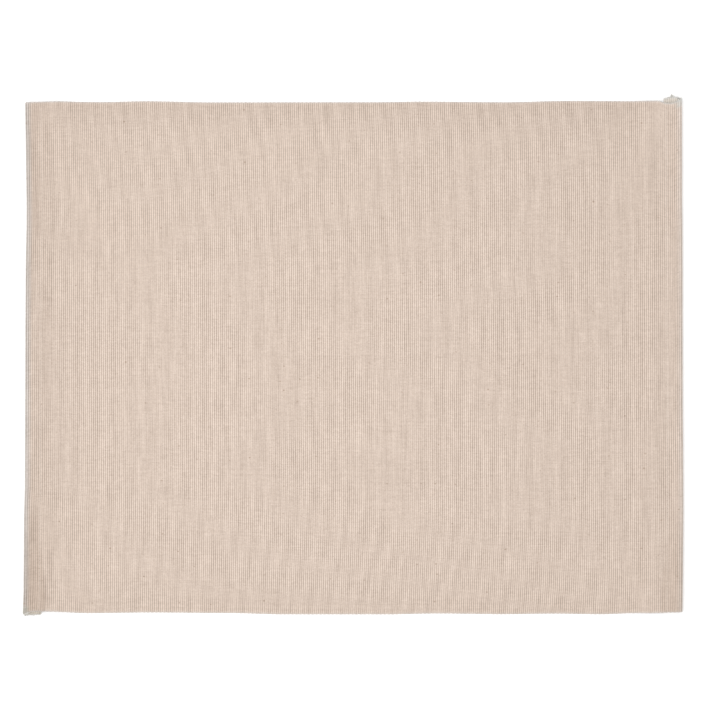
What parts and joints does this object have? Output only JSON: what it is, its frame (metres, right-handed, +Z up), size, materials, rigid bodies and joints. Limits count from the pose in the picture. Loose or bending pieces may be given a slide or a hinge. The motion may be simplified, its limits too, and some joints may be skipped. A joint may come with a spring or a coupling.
{
  "type": "fabric placemat",
  "caption": "Oblong table mat of thick ribbed cotton, lying flat, with woven side edges and a turned, stitched hem along each short end.",
  "frame": {"origin": "under the middle of the mat's box, on the surface that the mat lies on", "axes": "+X along the mat's length, across the ribs, from hem to hem; +Y along the ribs, from selvedge to selvedge; +Z up, out of the mat's upper face"},
  "size_m": [0.4522, 0.355, 0.0048],
  "materials": {
    "natural_cotton": "matt undyed cotton in a heavy warp-faced rib weave"
  },
  "bodies": {
    "root": {"placemat_cloth": "natural_cotton"}
  },
  "joints": []
}
